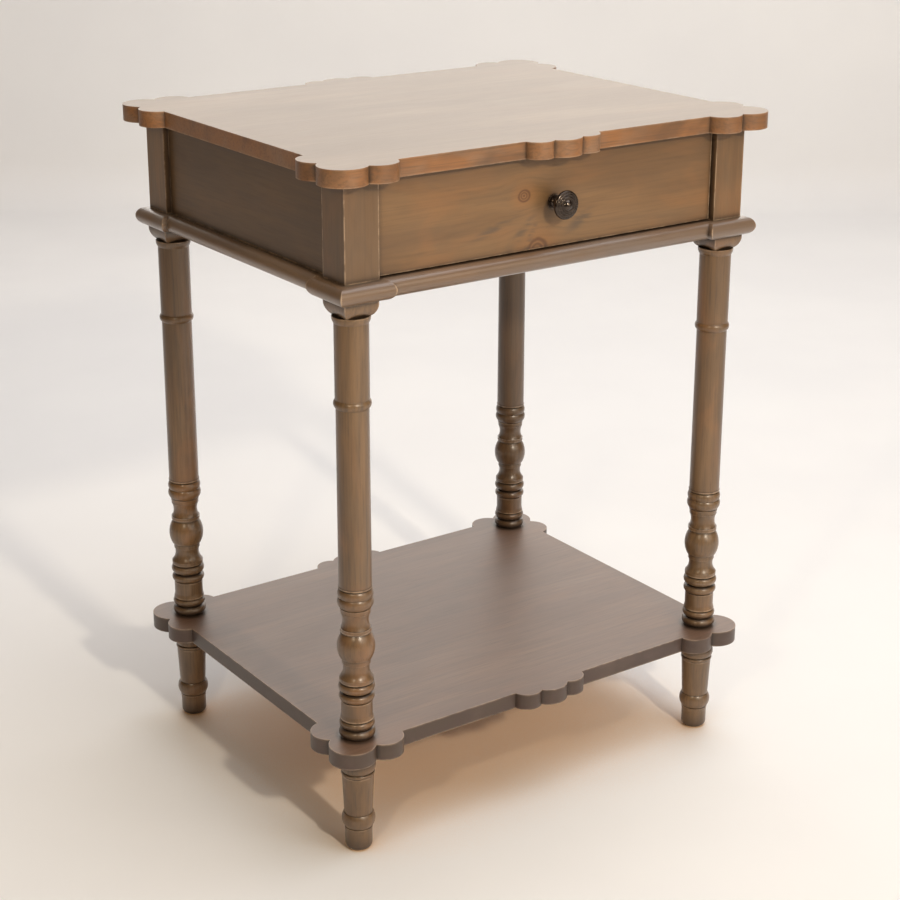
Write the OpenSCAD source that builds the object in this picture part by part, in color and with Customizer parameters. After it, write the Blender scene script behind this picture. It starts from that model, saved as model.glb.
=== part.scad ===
// Side table with one drawer: a case on four turned legs, with a lower shelf and turned feet.
// Millimetres. Origin on the floor under the middle of the table, +X right when facing the
// drawer, -Y front (drawer side), +Z up.

/* [Overall] */
// floor to the upper face of the top
table_h = 711; // [600:1:800]
// distance between the left and right leg axes
leg_span_x = 457; // [380:1:560]
// distance between the front and back leg axes
leg_span_y = 357; // [300:1:460]

/* [Top and shelf] */
// thickness of the top board
top_t = 17; // [14:0.5:25]
// half length of the top, centre to the straight side edge
top_half_x = 252.5; // [230:0.5:300]
// half depth of the top, centre to the straight front edge
top_half_y = 201.5; // [190:0.5:250]
// thickness of the shelf board
shelf_t = 17; // [14:0.5:25]
// floor to the upper face of the shelf
shelf_z = 127; // [110:1:200]
// how much smaller the shelf outline is than the top, per side
shelf_inset = 3.5; // [0:0.5:10]
// how far the shaped corners and front bump stand out from the straight edges
lobe_out = 17; // [10:0.5:24]

/* [Case] */
// square section of the four corner posts
post_w = 38; // [32:1:50]
// how far the post axes stand in from the leg axes
post_inset = 2; // [0:0.5:4]
// thickness of the rounded waist frame under the drawer
waist_t = 19; // [16:0.5:25]
// how far the waist blocks stand out beyond the posts
waist_out = 12; // [8:0.5:16]
// upper face of the waist frame above the floor
waist_z = 599; // [540:1:620]
// setback of the drawer front and panels behind the post faces
panel_setback = 6; // [3:0.5:10]
// thickness of the side and back panels
panel_t = 12; // [9:0.5:18]

/* [Drawer] */
// thickness of the drawer front
front_t = 19; // [16:0.5:25]
// gap between the drawer front and each post
front_gap = 1.5; // [1:0.1:3]
// thickness of the drawer sides and back
box_t = 12; // [9:0.5:15]
// how far the drawer slides out to its stop
travel = 250; // [150:1:260]

/* [Knob] */
// radius of the knob's disc
knob_r = 14.5; // [10:0.5:20]
// how far the knob's outer ring stands out from the drawer front
knob_out = 22; // [16:0.5:26]
// radius of the rosette behind the knob
rosette_r = 7.4; // [6:0.1:14]

/* [Hidden] */
$fn = 96;
eps = 0.05;

leg_x = leg_span_x / 2;
leg_y = leg_span_y / 2;
top_z = table_h - top_t;          // underside of the top
shelf_lo = shelf_z - shelf_t;     // underside of the shelf
waist_lo = waist_z - waist_t;     // underside of the waist frame

post_x = leg_x - post_inset;
post_y = leg_y - post_inset;
post_face_x = post_x + post_w / 2;  // outer faces of the posts
post_face_y = post_y + post_w / 2;
post_in_x = post_x - post_w / 2;    // inner faces of the posts
post_in_y = post_y - post_w / 2;
panel_face_x = post_face_x - panel_setback;
panel_face_y = post_face_y - panel_setback;
panel_in_x = panel_face_x - panel_t;
panel_in_y = panel_face_y - panel_t;

block_half = post_w / 2 + waist_out;         // waist block around each post, half width
strip_x = panel_face_x + waist_out;          // outer edge of the waist strips
strip_y = panel_face_y + waist_out;
waist_open_x = 190;                          // opening inside the waist frame
waist_open_y = post_y - block_half;          // the front and back rails end here
dust_t = 4;
dust_z = waist_lo + 7;
groove_d = 8;
tongue = 6;                                  // panel tongues in the posts

rod_r = 4;                                   // threaded rods through legs, shelf and waist
rod_fit = 0.1;
rod_bed = 45;                                // rod length inside each turned piece

rail_t = 18;                                 // cross rail and kickers under the top
rail_z = top_z - rail_t;
rail_front = -panel_face_y + front_t + 2;
rail_back = rail_front + 61;
kick_w = 40;
slide_gap = 0.4;                             // running gap under the drawer sides
guide_gap = 0.5;                             // running gap beside the drawer sides

front_half = post_in_x - front_gap;
front_lo = waist_z + 1.2;
front_hi = top_z - 2;
front_y = -panel_face_y;                     // outer face of the drawer front
front_in = front_y + front_t;
box_half = post_in_x - 3;                    // outer faces of the drawer sides
box_in = box_half - box_t;
box_lo = waist_z + slide_gap;
box_hi = rail_z - 1.6;
back_y = rail_back + travel + 8 + slide_gap; // front face of the drawer back
box_end = back_y + box_t + 3;
floor_t = 5;
floor_z = front_lo + 7;
floor_groove = 6;

knob_z = (front_lo + front_hi) / 2 - 0.8;
rosette_t = 4.6;
screw_r = 2;

cap_h = 15;                                  // square capital under the waist frame
fascia = 2.5;                                // upright edge at the top of the capital
neck_h = 8;                                  // round bead under the capital
neck_z = waist_lo - cap_h - neck_h;

// ---------- shared shapes ----------

// Board outline: straight edges, three-lobed corners, three-lobed bump front and back.
module outline(hx, hy) {
  big = sqrt(2) * lobe_out;                  // corner lobe radius
  small = 1.21 * lobe_out;                   // lobe either side of it
  bump = 22;                                 // middle lobe of the front bump
  bump_side = 16.7;                          // lobe either side of it
  ex = hx + lobe_out;
  ey = hy + lobe_out;
  square([2 * hx, 2 * hy], center = true);
  for (sx = [-1, 1]) for (sy = [-1, 1]) quadrant(sx, sy) {
    translate([ex - big, ey - big]) circle(r = big);
    translate([ex - small, ey - big - 36]) circle(r = small);
    translate([ex - big - 34.5, ey - small]) circle(r = small);
  }
  for (sy = [-1, 1]) quadrant(1, sy) {
    translate([0, ey + 1 - bump]) circle(r = bump);
    for (sx = [-1, 1]) translate([sx * 28, hy + 0.8 * lobe_out - bump_side]) circle(r = bump_side);
  }
}

// Mirrors its children into the quadrant with signs sx, sy.
module quadrant(sx, sy) {
  mirror([sx < 0 ? 1 : 0, 0, 0]) mirror([0, sy < 0 ? 1 : 0, 0]) children();
}

module box(lo, hi) {
  translate(lo) cube(hi - lo);
}

// Slab with a full half-round edge on all four sides and square, mitred-looking corners.
module round_slab(hx, hy, z, t) {
  intersection() {
    translate([0, 0, z + t / 2]) rotate([90, 0, 90])
      linear_extrude(height = 2 * hx, center = true) round_bar(hy, t);
    translate([0, 0, z + t / 2]) rotate([90, 0, 0])
      linear_extrude(height = 2 * hy, center = true) round_bar(hx, t);
  }
}

module round_bar(half, t) {
  square([2 * half - t, t], center = true);
  for (s = [-1, 1]) translate([s * (half - t / 2), 0]) circle(d = t);
}

// Bands of a turned profile, drawn as radius against height.
module band(z, h, r) {
  translate([0, z]) square([r, h]);
}

module bead(z, h, r) {
  translate([0, z]) square([r - h / 2, h]);
  translate([r - h / 2, z + h / 2]) circle(d = h);
}

module taper(z, h, r_lo, r_hi) {
  polygon([[0, z], [r_lo, z], [r_hi, z + h], [0, z + h]]);
}

module cove(z, h, r_ends, r_min, z_min, r_cut) {
  difference() {
    band(z, h, r_ends);
    translate([r_min + r_cut, z_min]) circle(r = r_cut);
  }
}

module swell(z, h, r_max, z_mid, r_arc) {
  intersection() {
    band(z, h, r_max);
    translate([r_max - r_arc, z_mid]) circle(r = r_arc);
  }
}

module rod(x, y, lo, hi, r) {
  translate([x, y, lo]) cylinder(r = r, h = hi - lo);
}

// ---------- legs and feet ----------

module leg_profile() {
  z = shelf_z;
  bead(z, 11, 18.3);
  bead(z + 11, 9.6, 17.9);
  taper(z + 20.6, 5, 16.9, 15.8);
  band(z + 25.6, 14.6, 15.8);
  bead(z + 40.2, 9.8, 18);
  bead(z + 50, 11.6, 18.3);
  cove(z + 61.6, 19.8, 17.2, 13.1, z + 76, 15.5);
  band(z + 81.4, 5.7, 14.4);
  swell(z + 87.1, 27.4, 19, z + 99.5, 27);
  band(z + 114.5, 1.5, 14.6);
  band(z + 116, 3.6, 15.7);
  cove(z + 119.6, 16.3, 15, 13.1, z + 127.5, 17.8);
  taper(z + 135.9, 5, 14.8, 15.6);
  swell(z + 140.9, 11.5, 18.2, z + 147.8, 8.6);
  swell(z + 152.4, 10.1, 17.9, z + 156.5, 8);
  band(z + 162.5, 1.5, 17);
  taper(z + 164, 187.8, 16.5, 16.2);
  swell(z + 346.8, 10.4, 18.4, z + 351.8, 6.2);
  band(z + 351.8, waist_lo - cap_h - z - 351.8, 16.8);
  swell(neck_z, neck_h, 18.7, neck_z + neck_h - 1.5, 9);
}

// Outline of the capital: short upright edge, then a quarter round going in to the neck.
module cap_profile() {
  arc = 17.4;
  band_h = cap_h - fascia;
  translate([-post_w / 2, -fascia]) square([post_w, fascia]);
  intersection() {
    translate([-post_w / 2, -cap_h]) square([post_w, band_h]);
    union() {
      for (s = [-1, 1]) translate([s * (post_w / 2 - arc), -fascia]) circle(r = arc);
      translate([arc - post_w / 2, -cap_h]) square([post_w - 2 * arc, band_h]);
    }
  }
}

// The capital is cut square from two sides, then its lower corners are turned off round.
module capital() {
  turned_r = 14;
  turned_arc = 13;
  translate([0, 0, waist_lo]) intersection() {
    rotate([90, 0, 0]) linear_extrude(height = post_w, center = true) cap_profile();
    rotate([90, 0, 90]) linear_extrude(height = post_w, center = true) cap_profile();
    rotate_extrude() {
      band(-cap_h, cap_h, turned_r);
      band(-fascia, fascia, post_w);
      swell(-cap_h, cap_h, turned_r + turned_arc, -fascia, turned_arc);
    }
  }
}

module leg(sx, sy) {
  color("peru") translate([sx * leg_x, sy * leg_y, 0]) difference() {
    union() {
      rotate_extrude() leg_profile();
      capital();
    }
    rod(0, 0, shelf_z - 1, shelf_z + rod_bed, rod_r + rod_fit);
    rod(0, 0, waist_lo - rod_bed, waist_lo + 1, rod_r + rod_fit);
  }
}

module foot_profile() {
  toe = 6;
  toe_r = 13.9;
  band(0, toe, toe_r - toe);
  band(toe, 14, toe_r);
  intersection() {
    band(0, toe, toe_r);
    translate([toe_r - toe, toe]) circle(r = toe);
  }
  taper(20, 5, toe_r, 14.6);
  swell(25, 16, 17.2, 33.8, 13);
  taper(41, 43, 14.5, 16.4);
  bead(84, 4.5, 17.3);
  swell(88.5, 14, 18.5, 94.5, 9);
  cove(102.5, shelf_lo - 102.5, 16, 15, 106, 12);
}

module foot(sx, sy) {
  color("peru") translate([sx * leg_x, sy * leg_y, 0]) difference() {
    rotate_extrude() foot_profile();
    rod(0, 0, shelf_lo - rod_bed, shelf_lo + 1, rod_r + rod_fit);
  }
}

module each_leg() {
  for (sx = [-1, 1]) for (sy = [-1, 1]) translate([sx * leg_x, sy * leg_y, 0]) children();
}

module leg_bolts() {
  color("silver") each_leg() rod(0, 0, shelf_lo - rod_bed + 2, shelf_z + rod_bed - 2, rod_r);
}

module post_bolts() {
  color("silver") each_leg() rod(0, 0, waist_lo - rod_bed + 2, waist_z + rod_bed - 2, rod_r);
}

// ---------- boards ----------

module top_panel() {
  color("burlywood") difference() {
    translate([0, 0, top_z]) linear_extrude(height = top_t) outline(top_half_x, top_half_y);
    screw_places() rod(0, 0, top_z - 1, top_z + 11, screw_r + eps);
  }
}

module lower_shelf() {
  color("burlywood") difference() {
    translate([0, 0, shelf_lo]) linear_extrude(height = shelf_t)
      outline(top_half_x - shelf_inset, top_half_y - shelf_inset);
    each_leg() rod(0, 0, shelf_lo - 1, shelf_z + 1, rod_r + rod_fit);
  }
}

// ---------- case ----------

// One post in the +X +Y quadrant, mirrored to its corner. Back posts also take the back panel.
module post(sx, sy) {
  panel_mid = panel_face_x - panel_t / 2;
  back_mid = panel_face_y - panel_t / 2;
  color("sienna") quadrant(sx, sy) difference() {
    translate([post_x - post_w / 2, post_y - post_w / 2, waist_z])
      cube([post_w, post_w, top_z - waist_z]);
    box([panel_mid - tongue / 2 - eps, post_in_y - 1, waist_z - 1],
        [panel_mid + tongue / 2 + eps, post_in_y + tongue + eps, top_z + 1]);
    if (sy > 0)
      box([post_in_x - 1, back_mid - tongue / 2 - eps, waist_z - 1],
          [post_in_x + tongue + eps, back_mid + tongue / 2 + eps, top_z + 1]);
    rod(leg_x, leg_y, waist_z - 1, waist_z + rod_bed, rod_r + rod_fit);
  }
}

// Side panel on the +X side, tongued into both posts.
module side_panel(sx) {
  mid = panel_face_x - panel_t / 2;
  color("sienna") quadrant(sx, 1) {
    box([panel_in_x, -post_in_y, waist_z], [panel_face_x, post_in_y, top_z]);
    box([mid - tongue / 2, -post_in_y - tongue, waist_z],
        [mid + tongue / 2, post_in_y + tongue, top_z]);
  }
}

module back_panel() {
  mid = panel_face_y - panel_t / 2;
  color("sienna") union() {
    box([-post_in_x, panel_in_y, waist_z], [post_in_x, panel_face_y, top_z]);
    box([-post_in_x - tongue, mid - tongue / 2, waist_z],
        [post_in_x + tongue, mid + tongue / 2, top_z]);
  }
}

// Whole waist frame before it is divided into four rails.
module waist_frame() {
  difference() {
    union() {
      round_slab(strip_x, strip_y, waist_lo, waist_t);
      for (sx = [-1, 1]) for (sy = [-1, 1]) translate([sx * post_x, sy * post_y, 0])
        round_slab(block_half, block_half, waist_lo, waist_t);
    }
    box([-waist_open_x, -waist_open_y, waist_lo - 1], [waist_open_x, waist_open_y, waist_z + 1]);
    box([-waist_open_x - groove_d, -waist_open_y - groove_d, dust_z - eps],
        [waist_open_x + groove_d, waist_open_y + groove_d, dust_z + dust_t + eps]);
    each_leg() rod(0, 0, waist_lo - 1, waist_z + 1, rod_r + rod_fit);
  }
}

// Front or back rail: full length, with the corner blocks.
module waist_end(sy) {
  far = 400;
  color("sienna") intersection() {
    waist_frame();
    quadrant(1, sy) box([-far, waist_open_y, 0], [far, far, waist_z + 1]);
  }
}

// Left or right rail: fits between the front and back rails.
module waist_side(sx) {
  far = 400;
  color("sienna") intersection() {
    waist_frame();
    quadrant(sx, 1) box([waist_open_x, -waist_open_y, 0], [far, waist_open_y, waist_z + 1]);
  }
}

module dust_panel() {
  x = waist_open_x + groove_d - 1;
  y = waist_open_y + groove_d - 1;
  color("tan") box([-x, -y, dust_z], [x, y, dust_z + dust_t]);
}

// ---------- inside the case ----------

// Places of the screws that hold the top: two on each kicker, two on the cross rail.
module screw_places() {
  x = panel_in_x - kick_w / 2;
  for (s = [-1, 1]) {
    for (y = [-60, 120]) translate([s * x, y, 0]) children();
    translate([s * 120, rail_front + 20, 0]) children();
  }
}

module rail_screw_cut() {
  screw_places() {
    rod(0, 0, rail_z - 1, top_z + 1, screw_r + eps);
    rod(0, 0, rail_z - 1, rail_z + 3 + eps, 2 * screw_r + eps);
  }
}

module top_screws() {
  color("silver") screw_places() {
    rod(0, 0, rail_z + 0.4, top_z + 10, screw_r);
    rod(0, 0, rail_z + 0.4, rail_z + 3, 2 * screw_r);
  }
}

module cross_rail() {
  color("tan") difference() {
    union() {
      box([-post_in_x, rail_front, rail_z], [post_in_x, -post_in_y, top_z]);
      box([-panel_in_x, -post_in_y, rail_z], [panel_in_x, rail_back, top_z]);
    }
    rail_screw_cut();
  }
}

module kicker(sx) {
  color("tan") difference() {
    quadrant(sx, 1) union() {
      box([panel_in_x - kick_w, rail_back, rail_z], [panel_in_x, post_in_y, top_z]);
      box([panel_in_x - kick_w, post_in_y, rail_z], [post_in_x, panel_in_y, top_z]);
    }
    rail_screw_cut();
  }
}

module guide(sx) {
  color("tan") quadrant(sx, 1)
    box([box_half + guide_gap, -post_in_y, waist_z], [panel_in_x, post_in_y, waist_z + 15]);
}

module drawer_stops() {
  color("tan") for (s = [-1, 1]) translate([s * 120, 0, 0])
    box([-15, front_in + slide_gap, waist_z], [15, -waist_open_y, waist_z + 7]);
}

// ---------- drawer ----------

module drawer_front() {
  color("peru") difference() {
    box([-front_half, front_y, front_lo], [front_half, front_in, front_hi]);
    box([-box_in - floor_groove, front_in - floor_groove, floor_z - eps],
        [box_in + floor_groove, front_in + 1, floor_z + floor_t + eps]);
    knob_line() cylinder(r = screw_r + 0.2, h = 60, center = true);
  }
}

module drawer_side(sx) {
  color("wheat") difference() {
    quadrant(sx, 1) box([box_in, front_in, box_lo], [box_half, box_end, box_hi]);
    box([-box_in - floor_groove, front_in - 1, floor_z - eps],
        [box_in + floor_groove, box_end + 1, floor_z + floor_t + eps]);
  }
}

module drawer_back() {
  color("wheat") box([-box_in, back_y, floor_z + floor_t], [box_in, back_y + box_t, box_hi]);
}

module drawer_bottom() {
  x = box_in + floor_groove - 0.5;
  color("tan") box([-x, front_in - floor_groove + 0.5, floor_z],
                   [x, back_y + box_t, floor_z + floor_t]);
}

// Wooden button on the drawer back that meets the cross rail when the drawer is fully out.
module stop_button() {
  color("tan") box([-8, back_y - 8, box_hi - 20], [8, back_y, top_z - 6]);
}

// ---------- knob ----------

module knob_line() {
  translate([0, front_y, knob_z]) rotate([90, 0, 0]) children();
}

// Stem, dished back, rounded rim, two raised rings and a domed boss.
module knob_profile() {
  stem = 4.6;
  rim = 2.4;
  boss = 5.6;
  dome = 6.5;
  back = knob_out - 6.5;
  band(rosette_t, back - rosette_t, stem);
  taper(back, 3.2, stem + 1.4, knob_r - 1.6);
  band(back + 3.2, 2 * rim - 1.5, knob_r - rim + 0.6);
  translate([knob_r - rim, back + 4.1]) circle(r = rim);
  band(knob_out - 0.5, 0.9, knob_r - 3.9);
  translate([knob_r - 3.9, knob_out - 0.6]) circle(r = 1.1);
  band(knob_out, 0.9, knob_r - 6.6);
  translate([knob_r - 6.6, knob_out]) circle(r = 1);
  band(knob_out + 0.4, 0.6, boss);
  swell(knob_out + 0.9, 3.2, dome, knob_out - 2.4, dome);
}

module knob() {
  color("dimgray") knob_line() difference() {
    rotate_extrude() knob_profile();
    translate([0, 0, -1]) cylinder(r = screw_r + eps, h = knob_out - 2.6);
  }
}

module knob_rosette() {
  color("dimgray") knob_line() rotate_extrude() difference() {
    union() {
      band(0, 2.2, rosette_r);
      swell(2.2, rosette_t - 2.2, rosette_r - 1.2, 0, rosette_r - 1.2);
    }
    translate([0, -1]) square([screw_r + 0.2, rosette_t + 2]);
  }
}

module knob_screw() {
  color("silver") knob_line() {
    translate([0, 0, -front_t]) cylinder(r = screw_r, h = front_t + knob_out - 4.2);
    translate([0, 0, -front_t - 2.4]) cylinder(r = 2 * screw_r, h = 2.4);
  }
}

top_panel();
lower_shelf();
post(-1, -1);  // post_front_left
post(1, -1);  // post_front_right
post(-1, 1);  // post_back_left
post(1, 1);  // post_back_right
waist_end(-1);  // waist_front
waist_end(1);  // waist_back
waist_side(-1);  // waist_left
waist_side(1);  // waist_right
dust_panel();
side_panel(-1);  // side_left
side_panel(1);  // side_right
back_panel();
cross_rail();
kicker(-1);  // kicker_left
kicker(1);  // kicker_right
guide(-1);  // guide_left
guide(1);  // guide_right
drawer_stops();
leg(-1, -1);  // leg_front_left
leg(1, -1);  // leg_front_right
leg(-1, 1);  // leg_back_left
leg(1, 1);  // leg_back_right
foot(-1, -1);  // foot_front_left
foot(1, -1);  // foot_front_right
foot(-1, 1);  // foot_back_left
foot(1, 1);  // foot_back_right
leg_bolts();
post_bolts();
top_screws();
drawer_front();
drawer_side(-1);  // drawer_side_left
drawer_side(1);  // drawer_side_right
drawer_back();
drawer_bottom();
stop_button();
knob();
knob_rosette();
knob_screw();
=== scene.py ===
import math
import bpy
from mathutils import Matrix, Vector

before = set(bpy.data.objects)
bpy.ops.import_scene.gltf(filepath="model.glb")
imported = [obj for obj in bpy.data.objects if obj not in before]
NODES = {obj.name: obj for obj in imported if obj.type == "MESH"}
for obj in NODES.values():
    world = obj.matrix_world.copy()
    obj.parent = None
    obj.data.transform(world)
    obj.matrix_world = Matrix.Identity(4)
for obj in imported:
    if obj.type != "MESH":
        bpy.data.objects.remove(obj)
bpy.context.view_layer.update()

MM = 0.001
SHADE_SAMPLES = 8
RINGS_REACH = 26 * MM      # reach of the painted shade between turned rings, under overhangs and beside proud parts
GROOVE_REACH = 8 * MM      # width of the dark glazing in grooves and of the painted shade where pieces meet
ARRIS_REACH = 2.2 * MM     # width of the pale band along an arris, worn and partly a painted highlight


# ---------- camera ----------

CAMERA_AT = (-1.1408, -1.6325, 1.0593)
AZIMUTH, ELEVATION, ROLL = -35.184, 18.629, 0.124   # degrees
LENS = 76.63
SHIFT_Y = -0.0556


def make_camera():
    data = bpy.data.cameras.new("camera")
    data.lens = LENS
    data.shift_y = SHIFT_Y
    cam = bpy.data.objects.new("camera", data)
    bpy.context.scene.collection.objects.link(cam)
    turn, dip, roll = (math.radians(angle) for angle in (AZIMUTH, ELEVATION, ROLL))
    ahead = Vector((-math.sin(turn) * math.cos(dip), math.cos(turn) * math.cos(dip), -math.sin(dip)))
    level = ahead.cross(Vector((0, 0, 1))).normalized()
    upright = level.cross(ahead)
    right = level * math.cos(roll) + upright * math.sin(roll)
    up = upright * math.cos(roll) - level * math.sin(roll)
    place = Matrix((right, up, -ahead)).transposed().to_4x4()
    place.translation = CAMERA_AT
    cam.matrix_world = place
    bpy.context.scene.camera = cam


# ---------- material building ----------

class Shader:
    """One material and short names for the nodes it is built from."""

    def __init__(self, name, roughness=0.5, metallic=0.0, coat=0.0, coat_roughness=0.2):
        self.material = bpy.data.materials.new(name)
        self.material.use_nodes = True
        self.tree = self.material.node_tree
        self.surface = self.tree.nodes["Principled BSDF"]
        for key, value in (("Roughness", roughness), ("Metallic", metallic), ("Coat Weight", coat),
                           ("Coat Roughness", coat_roughness)):
            self.surface.inputs[key].default_value = value
        self.at = self.add("ShaderNodeTexCoord").outputs["Object"]

    def put(self, socket, value):
        if isinstance(value, bpy.types.NodeSocket):
            self.tree.links.new(value, socket)
        else:
            socket.default_value = value

    def add(self, kind, inputs=(), **settings):
        made = self.tree.nodes.new(kind)
        for key, value in settings.items():
            setattr(made, key, value)
        for key, value in dict(inputs).items():
            self.put(made.inputs[key], value)
        return made

    def stretched(self, scale, offset=(0, 0, 0), at=None):
        """The object's coordinates, scaled per axis and moved."""
        return self.add("ShaderNodeMapping", {"Vector": at or self.at, "Scale": scale, "Location": offset}
                        ).outputs["Vector"]

    def split(self, vector):
        """The X, Y and Z outputs of a vector."""
        return self.add("ShaderNodeSeparateXYZ", {"Vector": vector}).outputs

    def noise(self, at, detail=3.0, rough=0.55, bend=0.0):
        return self.add("ShaderNodeTexNoise", {"Vector": at, "Scale": 1.0, "Detail": detail,
                                               "Roughness": rough, "Distortion": bend}).outputs["Fac"]

    def math(self, operation, a, b=0.0):
        return self.add("ShaderNodeMath", {0: a, 1: b}, operation=operation).outputs[0]

    def times(self, a, b):
        return self.math("MULTIPLY", a, b)

    def plus(self, a, b):
        return self.math("ADD", a, b)

    def minus(self, a, b):
        return self.math("SUBTRACT", a, b)

    def length(self, a, b):
        """The length of the vector whose two parts are a and b."""
        return self.math("SQRT", self.plus(self.times(a, a), self.times(b, b)))

    def fade(self, value, low, high, to_low=0.0, to_high=1.0):
        """value as it goes from low to high, smoothly from to_low to to_high."""
        return self.add("ShaderNodeMapRange",
                        {"Value": value, "From Min": low, "From Max": high,
                         "To Min": to_low, "To Max": to_high},
                        interpolation_type="SMOOTHSTEP").outputs["Result"]

    def mix(self, share, a, b):
        """Colour a, with b laid over it by share."""
        made = self.add("ShaderNodeMix", data_type="RGBA")
        for index, value in ((0, share), (6, a), (7, b)):
            self.put(made.inputs[index], value if not isinstance(value, tuple) else (*value, 1.0))
        return made.outputs[2]

    def edges(self, reach):
        """1 on the arrises of this piece, 0 on its faces."""
        inside = self.add("ShaderNodeAmbientOcclusion", {"Distance": reach}, samples=SHADE_SAMPLES,
                          inside=True, only_local=True).outputs["AO"]
        return self.minus(1.0, inside)

    def corners(self, reach):
        """1 deep in grooves and where pieces meet, 0 in the open."""
        open_share = self.add("ShaderNodeAmbientOcclusion", {"Distance": reach},
                              samples=SHADE_SAMPLES).outputs["AO"]
        return self.minus(1.0, open_share)

    def bump(self, height, depth, strength, over=None):
        inputs = {"Height": height, "Distance": depth, "Strength": strength}
        if over is not None:
            inputs["Normal"] = over
        return self.add("ShaderNodeBump", inputs).outputs["Normal"]

    def done(self, colour, roughness=None, normal=None):
        self.put(self.surface.inputs["Base Color"], colour)
        if roughness is not None:
            self.put(self.surface.inputs["Roughness"], roughness)
        if normal is not None:
            self.put(self.surface.inputs["Normal"], normal)
        return self.material


def along(grain, long_scale, cross_scale):
    """Noise scale for each axis, low along the grain and high across it."""
    return tuple(long_scale if axis == grain else cross_scale for axis in "XYZ")


# ---------- woods ----------

KNOT_SQUASH = 0.75      # weight of the distance along the grain, under 1 to draw a knot out
KNOT_RINGS = 2.6        # growth rings from the middle of a knot to its rim


def knot_pattern(s, knots):
    """Rings, shade and grain swirl of the knots, each (x, z, radius) on a face in the XZ plane."""
    place = s.split(s.at)
    wobble = s.noise(s.stretched((60, 60, 60)), detail=2.0)
    rings, halo, lift = 0.0, 0.0, 0.0
    for x, z, radius in knots:
        dx = s.minus(place["X"], x)
        dz = s.minus(place["Z"], z)
        far = s.math("SQRT", s.plus(s.times(s.times(dx, dx), KNOT_SQUASH), s.times(dz, dz)))
        far = s.times(far, s.plus(0.8, s.times(wobble, 0.4)))
        inside = s.fade(far, radius, 0.75 * radius)
        ring = s.math("SINE", s.times(far, 2 * math.pi * KNOT_RINGS / radius))
        ring = s.times(inside, s.plus(0.5, s.times(ring, 0.5)))
        rim = s.times(s.fade(far, 0.6 * radius, 0.85 * radius), s.fade(far, 1.15 * radius, 0.9 * radius))
        rings = s.math("MAXIMUM", rings, s.math("MAXIMUM", ring, rim))
        halo = s.math("MAXIMUM", halo, s.fade(far, 3.2 * radius, 0.6 * radius))
        near = s.fade(far, 6 * radius, 0.0)
        lift = s.plus(lift, s.times(near, s.times(dz, -0.55)))
    swirl = s.add("ShaderNodeCombineXYZ", {"Z": lift}).outputs["Vector"]
    bent = s.add("ShaderNodeVectorMath", {0: s.at, 1: swirl}, operation="ADD").outputs["Vector"]
    return rings, halo, bent


def grey_smudge(s, x, z, length, height, lean):
    """A soft grey streak of the stain on a face in the XZ plane, brushed out along its length."""
    place = s.split(s.at)
    dx = s.minus(place["X"], x)
    dz = s.minus(s.minus(place["Z"], z), s.times(dx, lean))
    far = s.length(s.math("DIVIDE", dx, length), s.math("DIVIDE", dz, height))
    brush = s.noise(s.stretched((30, 30, 190)), detail=4.0, bend=0.8)
    return s.times(s.fade(far, 1.0, 0.1), s.fade(brush, 0.34, 0.62, 0.0, 0.75))


def plank_shade(s, width):
    """A constant between 0 and 1 for each of the boards glued side by side along Y."""
    cell = s.math("FLOOR", s.math("DIVIDE", s.split(s.at)["Y"], width))
    return s.add("ShaderNodeTexWhiteNoise", {"W": cell}, noise_dimensions="1D").outputs["Value"]


def upright_faces(s):
    """1 on upright faces, 0 on level ones."""
    normal = s.add("ShaderNodeNewGeometry").outputs["Normal"]
    return s.fade(s.math("ABSOLUTE", s.split(normal)["Z"]), 0.6, 0.3)


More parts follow.
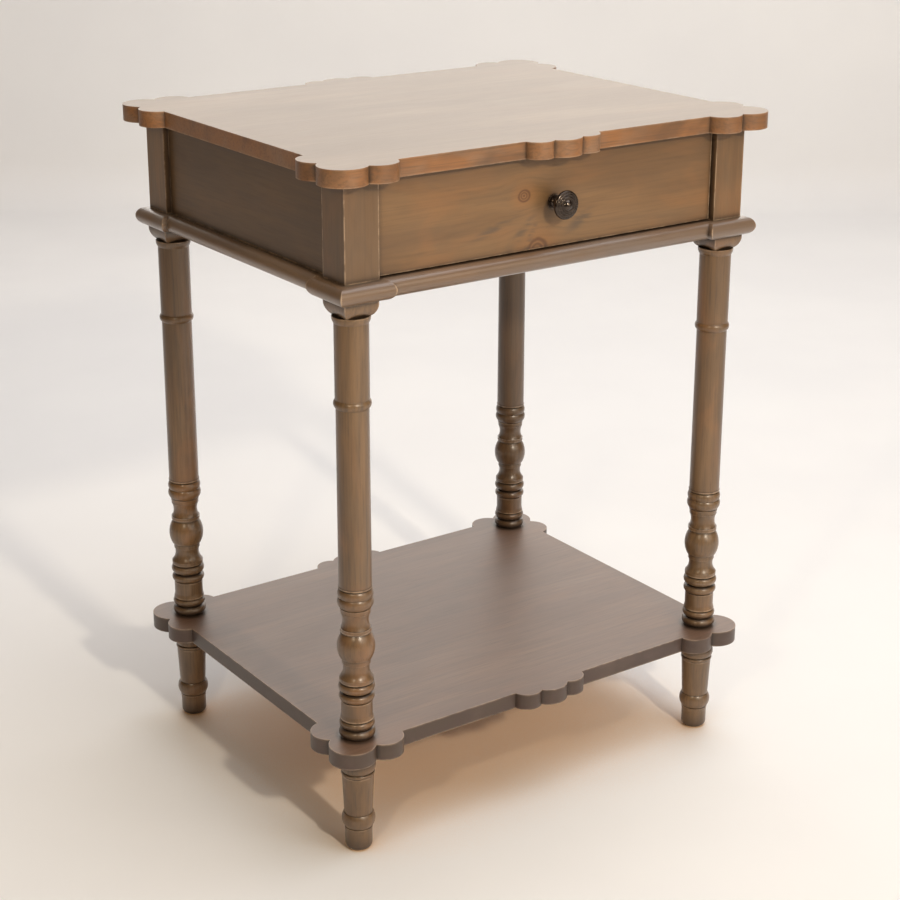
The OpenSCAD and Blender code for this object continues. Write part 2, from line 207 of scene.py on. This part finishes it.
def stained_wood(name, grain, tone, wash, warmth, contrast, seed, knots=(), smudges=(), wear_and_highlight=1.0,
                 glaze_and_shade=0.75, recess_shade=0.0, roughness=0.42, coat=0.25, coat_roughness=0.3, plank=None,
                 rim=None):
    """Stained, grey-washed and lacquered pine. grain is the axis that it runs along, wash the
    strength of its grey film, warmth that of its orange patches, contrast that of its grain,
    wear_and_highlight that of its pale arrises, which are worn and partly a painted highlight,
    glaze_and_shade how dark its grooves and joins are, from a dark glazing and partly from painted
    shade, recess_shade how much painted shade darkens its hollows and the faces under overhangs,
    plank the width of its glued boards, and rim the colour that the stain takes on its upright edges."""
    s = Shader(name, coat=coat, coat_roughness=coat_roughness)
    rings, halo, at = knot_pattern(s, knots) if knots else (0.0, 0.0, s.at)
    shift = (seed, 1.7 * seed, 2.3 * seed)
    dark, middle, pale, grey, orange = (tone[k] for k in ("dark", "middle", "pale", "grey", "orange"))

    def layer(value, low, high, share):
        return s.times(s.fade(value, low, high), share * contrast)

    broad = s.noise(s.stretched(along(grain, 2.4, 15.0), shift, at), detail=3.0, bend=0.4)
    figure = s.noise(s.stretched(along(grain, 0.9, 9.0), shift, at), detail=2.0, bend=0.3)
    figure = s.math("SINE", s.times(figure, 190.0))
    fine = s.noise(s.stretched(along(grain, 12.0, 420.0), shift, at), detail=5.0, rough=0.65)
    pores = s.noise(s.stretched(along(grain, 30.0, 1300.0), shift, at), detail=3.0, rough=0.7)
    cloud = s.noise(s.stretched(along(grain, 4.5, 21.0), shift, at), detail=4.0, rough=0.55, bend=0.7)
    blotch = s.noise(s.stretched(along(grain, 11.0, 26.0), (3.1 + seed, 0.4, 5.2), at), detail=3.0,
                     bend=0.6)

    colour = s.mix(s.fade(broad, 0.36, 0.66), middle, pale)
    colour = s.mix(layer(figure, 0.1, 1.0, 0.14), colour, dark)
    colour = s.mix(layer(fine, 0.42, 0.72, 0.40), colour, dark)
    colour = s.mix(s.times(s.fade(blotch, 0.46, 0.74), warmth), colour, orange)
    film = s.times(s.fade(cloud, 0.38, 0.70, 0.5, 1.0), wash)
    colour = s.mix(film, colour, grey)
    if plank:
        colour = s.mix(s.times(plank_shade(s, plank), 0.16), colour, dark)
    if knots:
        colour = s.mix(s.times(halo, 0.35), colour, orange)
        colour = s.mix(s.times(rings, 0.75), colour, tone["knot"])
    for smudge in smudges:
        colour = s.mix(grey_smudge(s, *smudge), colour, tuple(0.62 * v for v in grey))
    if rim:
        patch = s.noise(s.stretched((18, 18, 30), shift), detail=3.0, bend=0.5)
        stain = s.mix(s.fade(patch, 0.30, 0.60, 0.60, 1.0), grey, rim)
        stain = s.mix(s.fade(fine, 0.42, 0.72, 0.0, 0.45), stain, dark)
        stain = s.mix(s.fade(blotch, 0.42, 0.70, 0.0, 0.55), stain, dark)
        colour = s.mix(upright_faces(s), colour, stain)
    colour = s.mix(layer(pores, 0.56, 0.72, 0.35), colour, dark)

    patchy = s.noise(s.stretched((90, 90, 90), shift), detail=3.0)
    # painted shade in hollows, between turned rings and under overhangs
    if recess_shade:
        painted_hollow_shade = s.fade(s.corners(RINGS_REACH), 0.05, 0.34)
        colour = s.mix(s.times(painted_hollow_shade, recess_shade), colour, dark)
    # dark glazing in grooves and notches, and painted shade where separate pieces meet
    groove = s.fade(s.corners(GROOVE_REACH), 0.08, 0.40)
    colour = s.mix(s.times(groove, glaze_and_shade), colour, tone["glaze_and_shade"])
    # pale arrises and ring crests: real wear, and partly a painted highlight
    worn_and_highlit = s.times(s.fade(s.edges(ARRIS_REACH), 0.10, 0.34), s.fade(patchy, 0.38, 0.60, 0.25, 1.0))
    colour = s.mix(s.times(worn_and_highlit, 0.55 * wear_and_highlight), colour, tone["worn_and_highlit"])

    rough = s.plus(roughness, s.times(s.minus(cloud, 0.5), 0.16))
    rough = s.plus(rough, s.times(s.minus(pores, 0.5), 0.20))
    relief = s.bump(fine, 0.12 * MM, 0.35)
    relief = s.bump(pores, 0.06 * MM, 0.3, relief)
    return s.done(colour, rough, relief)


def raw_wood(name, grain, base, dark, seed):
    """Unfinished pale wood of the hidden pieces."""
    s = Shader(name)
    shift = (seed, 2.0 * seed, 3.0 * seed)
    figure = s.noise(s.stretched(along(grain, 1.0, 12.0), shift), detail=2.0, bend=0.5)
    figure = s.math("SINE", s.times(figure, 120.0))
    fine = s.noise(s.stretched(along(grain, 20.0, 500.0), shift), detail=5.0, rough=0.65)
    stain = s.noise(s.stretched(along(grain, 5.0, 11.0), shift), detail=3.0)
    colour = s.mix(s.times(s.fade(figure, 0.0, 1.0), 0.30), base, dark)
    colour = s.mix(s.times(s.fade(fine, 0.40, 0.75), 0.35), colour, dark)
    colour = s.mix(s.times(s.fade(stain, 0.45, 0.75), 0.25), colour, dark)
    # painted shade: darker in corners and where pieces meet
    colour = s.mix(s.times(s.fade(s.corners(GROOVE_REACH), 0.3, 0.8), 0.4), colour, dark)
    rough = s.fade(fine, 0.3, 0.7, 0.55, 0.75)
    return s.done(colour, rough, s.bump(fine, 0.15 * MM, 0.5))


# ---------- metals ----------

def oiled_bronze():
    """Dark bronze, worn a little brighter on its ridges."""
    s = Shader("oiled_bronze", metallic=0.85, coat=0.35, coat_roughness=0.12)
    mottle = s.noise(s.stretched((260, 260, 260)), detail=4.0)
    colour = s.mix(s.fade(mottle, 0.35, 0.7), (0.045, 0.033, 0.027), (0.072, 0.052, 0.040))
    colour = s.mix(s.times(s.fade(s.edges(1.2 * MM), 0.15, 0.5), 0.6), colour, (0.30, 0.22, 0.16))
    colour = s.mix(s.times(s.fade(s.corners(3 * MM), 0.3, 0.8), 0.8), colour, (0.008, 0.006, 0.005))
    rough = s.fade(mottle, 0.3, 0.75, 0.16, 0.32)
    return s.done(colour, rough, s.bump(mottle, 0.03 * MM, 0.15))


def zinc_steel():
    """Dull zinc plating with faint brush marks."""
    s = Shader("zinc_steel", metallic=1.0)
    brushed = s.noise(s.stretched((900, 900, 60)), detail=4.0)
    cloud = s.noise(s.stretched((40, 40, 40)), detail=3.0)
    colour = s.mix(s.fade(brushed, 0.3, 0.7), (0.50, 0.50, 0.49), (0.66, 0.66, 0.67))
    colour = s.mix(s.times(s.fade(cloud, 0.45, 0.7), 0.35), colour, (0.42, 0.40, 0.36))
    return s.done(colour, s.fade(cloud, 0.3, 0.7, 0.28, 0.48), s.bump(brushed, 0.02 * MM, 0.3))


# ---------- finishes of the nodes ----------

TONE = {
    "dark": (0.058, 0.034, 0.018),
    "middle": (0.172, 0.089, 0.034),
    "pale": (0.245, 0.134, 0.054),
    "grey": (0.145, 0.108, 0.076),
    "orange": (0.350, 0.145, 0.040),
    "knot": (0.090, 0.034, 0.014),
    "glaze_and_shade": (0.028, 0.018, 0.012),
    "worn_and_highlit": (0.520, 0.370, 0.250),
}
BOARD_TONE = {**TONE, "middle": (0.160, 0.080, 0.040), "pale": (0.215, 0.122, 0.070),
              "grey": (0.134, 0.084, 0.066)}
# the top's tone is lighter and greyer than the shelf's stain, partly a painted sheen
SHEEN_PAINTED_TOP_TONE = {**BOARD_TONE, "middle": (0.245, 0.162, 0.097), "pale": (0.300, 0.204, 0.125),
            "grey": (0.240, 0.180, 0.130)}
WAIST_TONE = {**TONE, "grey": (0.172, 0.128, 0.102)}
TURNED_TONE = {**TONE, "grey": (0.108, 0.082, 0.056), "orange": (0.340, 0.145, 0.042)}
# a darker copy of the turned tone: painted shade for the back right leg
PAINTED_SHADE_TONE = {**TURNED_TONE, "middle": (0.120, 0.062, 0.025), "pale": (0.168, 0.090, 0.038),
               "grey": (0.082, 0.060, 0.042), "orange": (0.220, 0.095, 0.030)}
# darker than the posts: partly the panels' stain and partly painted shade of the side facing away from the
# lamps
PANEL_TONE = {**TONE, "middle": (0.100, 0.053, 0.020), "pale": (0.150, 0.081, 0.029),
              "orange": (0.210, 0.095, 0.028), "grey": (0.098, 0.062, 0.030)}

# Marks on the drawer front, placed in the CAD frame in metres.
KNOTS = ((-0.0366, 0.6553, 0.0062), (-0.0197, 0.6000, 0.0110))   # x, z, radius
SMUDGES = (                                                       # x, z, length, height, slope
    (-0.041, 0.6172, 0.030, 0.010, 0.9),
    (0.033, 0.622, 0.026, 0.010, 0.5),
    (-0.069, 0.629, 0.040, 0.007, 0.35),
    (-0.028, 0.613, 0.012, 0.012, 1.6),
)


def paint(material, *names):
    """Gives the named nodes this one material."""
    for name in names:
        slots = NODES[name].data.materials
        slots.clear()
        slots.append(material)


def corners_of(stem):
    """The names of the four nodes that stand at the corners of the table."""
    return [f"{stem}_{place}" for place in ("front_left", "front_right", "back_left", "back_right")]


def finish_stained_woods():
    board = dict(plank=0.092, glaze_and_shade=0.70, roughness=0.50, coat_roughness=0.42, wear_and_highlight=0.6)
    paint(stained_wood("top_wood", "X", SHEEN_PAINTED_TOP_TONE, wash=0.85, warmth=0.12, contrast=0.6, coat=0.55, seed=0.3,
                       rim=(0.290, 0.120, 0.034), **board), "top_panel")
    paint(stained_wood("shelf_wood", "X", BOARD_TONE, wash=0.75, warmth=0.15, contrast=1.1, coat=0.60,
                       seed=4.1, rim=(0.052, 0.025, 0.017), **board), "lower_shelf")
    case = dict(wash=0.45, warmth=0.40, contrast=0.9, recess_shade=0.35)
    paint(stained_wood("post_wood", "Z", TONE, seed=1.2, **case), *corners_of("post"))
    panel = dict(case, wash=0.28, warmth=0.2)
    paint(stained_wood("panel_side_wood", "Y", PANEL_TONE, seed=2.2, **panel), "side_left", "side_right")
    paint(stained_wood("panel_back_wood", "X", PANEL_TONE, seed=2.9, **panel), "back_panel")
    waist = dict(tone=WAIST_TONE, wash=0.9, warmth=0.15, contrast=0.9, roughness=0.36, coat=0.6,
                 coat_roughness=0.28, wear_and_highlight=1.4)
    paint(stained_wood("waist_long_wood", "X", seed=3.3, **waist), "waist_front", "waist_back")
    paint(stained_wood("waist_side_wood", "Y", seed=3.9, **waist), "waist_left", "waist_right")
    turned = dict(wash=0.48, warmth=0.50, contrast=1.6, wear_and_highlight=0.8, glaze_and_shade=0.80, recess_shade=0.85, roughness=0.38,
                  coat=0.50, coat_roughness=0.26)
    paint(stained_wood("turned_wood", "Z", TURNED_TONE, seed=5.5, **turned), *corners_of("foot"),
          *corners_of("leg"))
    # the back right leg gets the darker copy of the turned wood as painted shade
    paint(stained_wood("turned_wood_painted_shade", "Z", PAINTED_SHADE_TONE, seed=7.3, **turned), "leg_back_right")
    paint(stained_wood("drawer_front_wood", "X", TONE, wash=0.25, warmth=0.35, contrast=0.6, seed=6.4,
                       recess_shade=0.35, wear_and_highlight=1.5, knots=KNOTS, smudges=SMUDGES), "drawer_front")


def finish_inner_woods():
    pine, pine_dark = (0.560, 0.400, 0.235), (0.330, 0.205, 0.105)
    paint(raw_wood("drawer_side_wood", "Y", pine, pine_dark, 0.7), "drawer_side_left",
          "drawer_side_right", "kicker_left", "kicker_right", "guide_left", "guide_right")
    paint(raw_wood("cross_wood", "X", pine, pine_dark, 1.9), "drawer_back", "cross_rail",
          "drawer_stops", "stop_button")
    paint(raw_wood("plywood", "X", (0.600, 0.440, 0.275), (0.400, 0.265, 0.150), 2.8),
          "drawer_bottom", "dust_panel")


def finish_metals():
    paint(oiled_bronze(), "knob", "knob_rosette")
    paint(zinc_steel(), "leg_bolts", "post_bolts", "top_screws", "knob_screw")


SHARP_ANGLE = math.radians(40)
WELD_GAP = 0.01 * MM
ARRIS_RADIUS = {"top_panel": 1.0 * MM, "lower_shelf": 1.0 * MM, "drawer_front": 0.8 * MM,
                "waist_front": 0.5 * MM, "waist_back": 0.5 * MM,
                **{name: 0.7 * MM for name in corners_of("post")}}


def soften_arrises():
    """A small rounding on the sharp arrises of the flat-sided pieces."""
    for name, radius in ARRIS_RADIUS.items():
        weld = NODES[name].modifiers.new("weld", "WELD")
        weld.merge_threshold = WELD_GAP
        bevel = NODES[name].modifiers.new("arris", "BEVEL")
        bevel.width = radius
        bevel.segments = 3
        bevel.limit_method = "ANGLE"
        bevel.angle_limit = SHARP_ANGLE
        bevel.use_clamp_overlap = True
        smooth = NODES[name].modifiers.new("shade", "WEIGHTED_NORMAL")
        smooth.keep_sharp = False


# ---------- studio ----------

FLOOR_PAINTED_BOUNCE_REACH = 200 * MM   # how far from the table the floor takes on its painted warm shade and bounce light
WALL_DISTANCE = 4.66          # from the camera to the back wall
SWEEP_HALF = 6.0              # half the width of the floor, and its length in front of the wall
SWEEP_BEND = 0.12             # radius between floor and wall
SWEEP_STEPS = 10
WALL_HEIGHT = 4.0
AIM = Vector((0, 0, 0.45))    # a little above the middle of the table, where most lamps point

heading = math.radians(AZIMUTH)
AHEAD = Vector((-math.sin(heading), math.cos(heading), 0))
ASIDE = Vector((math.cos(heading), math.sin(heading), 0))
WALL_FOOT = Vector((CAMERA_AT[0], CAMERA_AT[1], 0)) + WALL_DISTANCE * AHEAD


def floor_paint():
    s = Shader("floor", roughness=0.65)
    worn = s.noise(s.stretched((2.2, 2.2, 2.2)), detail=3.0)
    colour = s.mix(s.fade(worn, 0.3, 0.7), (0.86, 0.855, 0.855), (0.89, 0.885, 0.88))
    # painted warm shade and bounce light on the floor near the table
    painted_warm_shade = s.fade(s.corners(FLOOR_PAINTED_BOUNCE_REACH), 0.22, 0.80)
    return s.done(s.mix(painted_warm_shade, colour, (0.86, 0.56, 0.34)))


def make_sweep():
    """The floor and the back wall, one sheet with a rounded bend between them."""
    profile = [(-SWEEP_HALF, 0.0), (-SWEEP_BEND, 0.0)]
    for step in range(1, SWEEP_STEPS + 1):
        angle = math.pi / 2 * step / SWEEP_STEPS
        profile.append((-SWEEP_BEND + SWEEP_BEND * math.sin(angle),
                        SWEEP_BEND - SWEEP_BEND * math.cos(angle)))
    profile.append((0.0, WALL_HEIGHT))
    points = [WALL_FOOT + AHEAD * reach + ASIDE * side + Vector((0, 0, z))
              for reach, z in profile for side in (-SWEEP_HALF, SWEEP_HALF)]
    faces = [(2 * k, 2 * k + 1, 2 * k + 3, 2 * k + 2) for k in range(len(profile) - 1)]
    mesh = bpy.data.meshes.new("studio_sweep")
    mesh.from_pydata(points, [], faces)
    mesh.polygons.foreach_set("use_smooth", [True] * len(mesh.polygons))
    mesh.materials.append(floor_paint())
    sweep = bpy.data.objects.new("studio_sweep", mesh)
    bpy.context.scene.collection.objects.link(sweep)


def lamp(name, place, size, power, colour, target=AIM):
    """An area lamp that the camera doesn't see."""
    data = bpy.data.lights.new(name, "AREA")
    data.shape = "RECTANGLE"
    data.size, data.size_y = size
    data.energy = power
    data.color = colour
    made = bpy.data.objects.new(name, data)
    bpy.context.scene.collection.objects.link(made)
    made.location = place
    made.rotation_euler = (target - Vector(place)).to_track_quat("-Z", "Y").to_euler()
    made.visible_camera = False
    return made


def light_studio():
    lamp("front_spot", (-0.30, -3.15, 2.07), (0.16, 0.16), 50, (1.0, 0.88, 0.70))
    lamp("front_fill", (0.70, -2.80, 1.30), (2.4, 1.4), 22, (1.0, 0.89, 0.74))
    lamp("left_spot", (-1.33, -1.05, 1.20), (0.08, 0.08), 5, (1.0, 0.84, 0.60))
    lamp("overhead", (0.7, -0.6, 3.2), (2.6, 2.6), 60, (0.94, 0.96, 1.0))
    lamp("backdrop", AIM + AHEAD * 1.3 + Vector((0, 0, 2.4)), (3.0, 0.8), 23, (0.97, 0.97, 0.99),
         target=WALL_FOOT + Vector((0, 0, 0.3)))
    sheen = lamp("sheen", AIM + AHEAD * 2.3 + Vector((0, 0, 0.85)), (4.0, 1.8), 27, (1.0, 0.94, 0.87))
    sheen.visible_diffuse = False    # it only shines on the lacquer, and casts no second shadow
    world = bpy.context.scene.world or bpy.data.worlds.new("world")
    bpy.context.scene.world = world
    world.use_nodes = True
    sky = world.node_tree.nodes["Background"]
    sky.inputs["Color"].default_value = (1.0, 0.70, 0.44, 1.0)
    sky.inputs["Strength"].default_value = 0.11


bpy.context.scene.view_settings.view_transform = "Standard"
make_camera()
finish_stained_woods()
finish_inner_woods()
finish_metals()
soften_arrises()
make_sweep()
light_studio()
